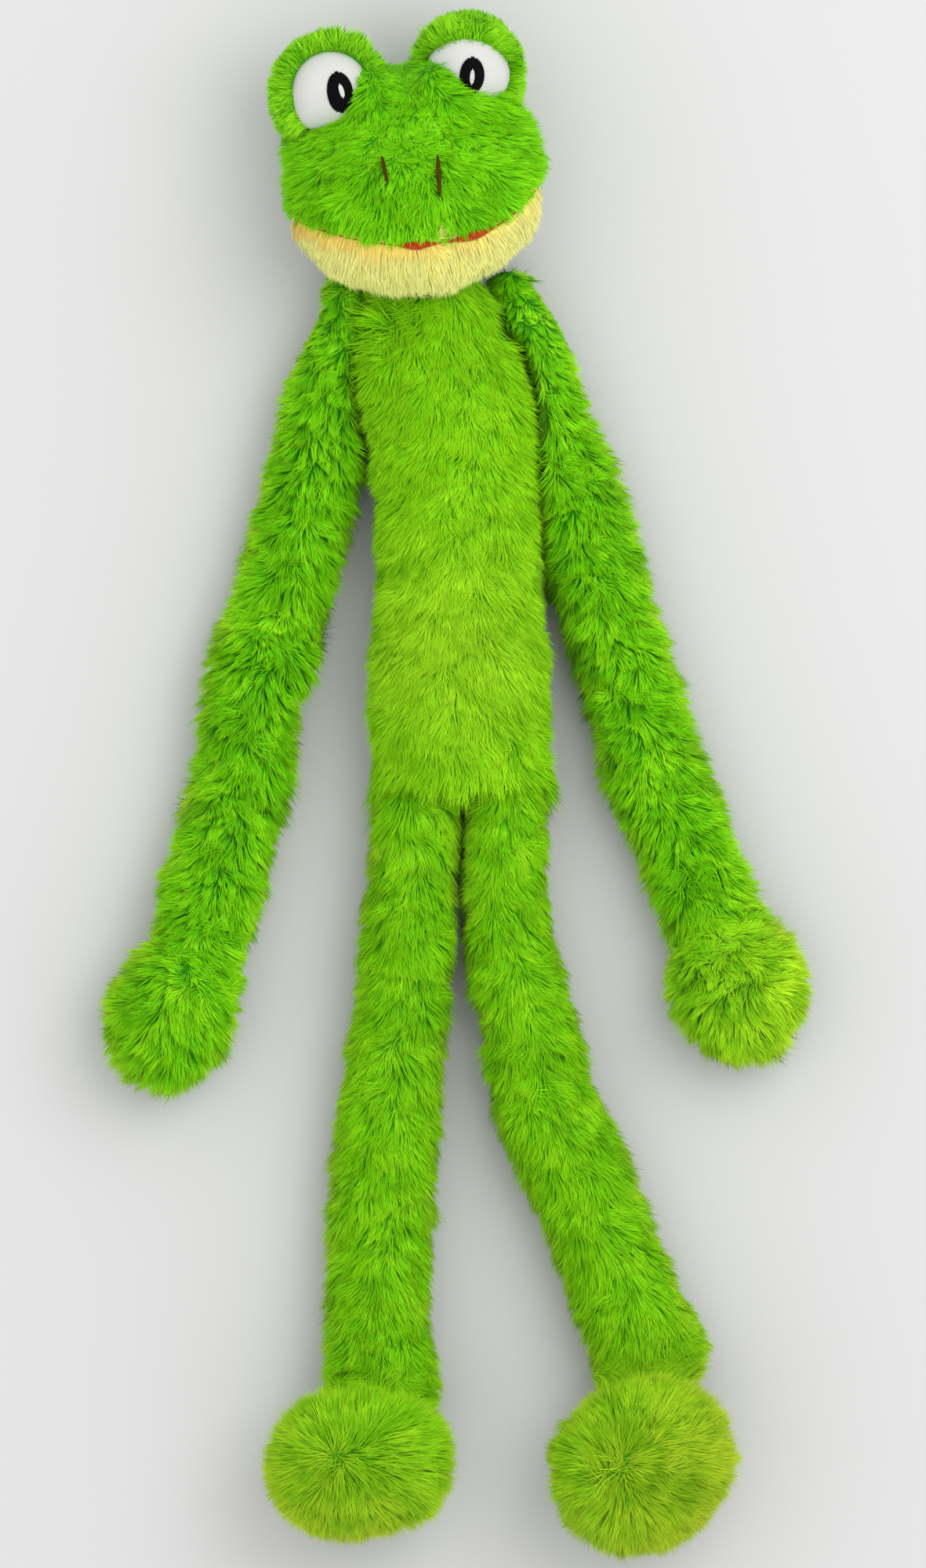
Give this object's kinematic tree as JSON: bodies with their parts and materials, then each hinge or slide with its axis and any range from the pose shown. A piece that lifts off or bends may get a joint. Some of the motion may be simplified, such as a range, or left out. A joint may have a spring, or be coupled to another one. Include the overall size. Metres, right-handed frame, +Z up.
{
  "type": "plush frog",
  "caption": "Floppy long-limbed plush frog of shaggy green pile, with raised eye lobes and a pale yellow jaw, stuffed limbs that bend at shoulder, elbow, wrist, hip, knee and ankle.",
  "frame": {"origin": "on the ground under the middle of the toy as it lies on its back, limbs spread", "axes": "+Y towards the head, +Z up out of the face and belly, +X towards the toy's own left hand"},
  "size_m": [0.2552, 0.5564, 0.0855],
  "materials": {
    "green_plush": "long shaggy pile, bright yellow-green tips over darker roots",
    "yellow_plush": "long pale yellow pile, tinted orange next to the mouth",
    "eye_cloth": "smooth white short-napped fabric",
    "black_thread": "satin-stitched black embroidery",
    "white_thread": "satin-stitched pale embroidery",
    "brown_thread": "satin-stitched dark red-brown embroidery",
    "red_felt": "matt orange-red felt",
    "filling": "white polyester fibre"
  },
  "bodies": {
    "torso": {"torso_front_panel": "green_plush", "torso_back_panel": "green_plush", "torso_stuffing": "filling"},
    "head": {"head_cover": "green_plush", "jaw_cover": "yellow_plush", "mouth_lining": "red_felt", "head_stuffing": "filling", "eye_hood_left": "green_plush", "eyeball_left": "eye_cloth", "pupil_left": "black_thread", "eye_glint_left": "white_thread", "nostril_left": "brown_thread", "eye_hood_right": "green_plush", "eyeball_right": "eye_cloth", "pupil_right": "black_thread", "eye_glint_right": "white_thread", "nostril_right": "brown_thread"},
    "upper_arm_right": {"upper_arm_cover_right": "green_plush", "upper_arm_stuffing_right": "filling"},
    "forearm_right": {"forearm_cover_right": "green_plush", "forearm_stuffing_right": "filling"},
    "hand_right": {"hand_cover_right": "green_plush", "hand_stuffing_right": "filling"},
    "thigh_right": {"thigh_cover_right": "green_plush", "thigh_stuffing_right": "filling"},
    "shin_right": {"shin_cover_right": "green_plush", "shin_stuffing_right": "filling"},
    "foot_right": {"foot_cover_right": "green_plush", "foot_stuffing_right": "filling"},
    "upper_arm_left": {"upper_arm_cover_left": "green_plush", "upper_arm_stuffing_left": "filling"},
    "forearm_left": {"forearm_cover_left": "green_plush", "forearm_stuffing_left": "filling"},
    "hand_left": {"hand_cover_left": "green_plush", "hand_stuffing_left": "filling"},
    "thigh_left": {"thigh_cover_left": "green_plush", "thigh_stuffing_left": "filling"},
    "shin_left": {"shin_cover_left": "green_plush", "shin_stuffing_left": "filling"},
    "foot_left": {"foot_cover_left": "green_plush", "foot_stuffing_left": "filling"}
  },
  "joints": [
    {"name": "neck_nod", "type": "hinge", "parent": "torso", "child": "head", "pos_m": [-0.00974, 0.18454, 0.027], "axis": [1, 0, 0], "range_deg": [-40, 15]},
    {"name": "shoulder_right", "type": "hinge", "parent": "torso", "child": "upper_arm_right", "pos_m": [-0.03843, 0.16554, 0.018], "axis": [0, 0, -1], "range_deg": [0, 80]},
    {"name": "elbow_right", "type": "hinge", "parent": "upper_arm_right", "child": "forearm_right", "pos_m": [-0.06362, 0.05641, 0.01685], "axis": [-0.9724, 0.2334, 0], "range_deg": [-45, 45]},
    {"name": "wrist_right", "type": "hinge", "parent": "forearm_right", "child": "hand_right", "pos_m": [-0.08977, -0.05249, 0.01646], "axis": [-0.9239, 0.3827, 0], "range_deg": [-45, 45]},
    {"name": "hip_right", "type": "hinge", "parent": "torso", "child": "thigh_right", "pos_m": [-0.01364, -0.01546, 0.021], "axis": [-1, 0, 0], "range_deg": [-25, 90]},
    {"name": "knee_right", "type": "hinge", "parent": "thigh_right", "child": "shin_right", "pos_m": [-0.02218, -0.11308, 0.01744], "axis": [-0.9986, 0.0523, 0], "range_deg": [-45, 45]},
    {"name": "ankle_right", "type": "hinge", "parent": "shin_right", "child": "foot_right", "pos_m": [-0.02763, -0.21694, 0.01666], "axis": [-0.9781, 0.2079, 0], "range_deg": [-45, 45]},
    {"name": "shoulder_left", "type": "hinge", "parent": "torso", "child": "upper_arm_left", "pos_m": [0.02557, 0.16554, 0.018], "axis": [0, 0, 1], "range_deg": [0, 80]},
    {"name": "elbow_left", "type": "hinge", "parent": "upper_arm_left", "child": "forearm_left", "pos_m": [0.0555, 0.05762, 0.01685], "axis": [-0.9444, -0.3289, 0], "range_deg": [-45, 45]},
    {"name": "wrist_left", "type": "hinge", "parent": "forearm_left", "child": "hand_left", "pos_m": [0.09234, -0.04815, 0.01646], "axis": [-0.9553, -0.2957, 0], "range_deg": [-45, 45]},
    {"name": "hip_left", "type": "hinge", "parent": "torso", "child": "thigh_left", "pos_m": [0.01976, -0.01546, 0.021], "axis": [-1, 0, 0], "range_deg": [-25, 90]},
    {"name": "knee_left", "type": "hinge", "parent": "thigh_left", "child": "shin_left", "pos_m": [0.0334, -0.1125, 0.01744], "axis": [-0.9455, -0.3256, 0], "range_deg": [-45, 45]},
    {"name": "ankle_left", "type": "hinge", "parent": "shin_left", "child": "foot_left", "pos_m": [0.06726, -0.21084, 0.01666], "axis": [-0.9998, 0.0175, 0], "range_deg": [-45, 45]}
  ]
}
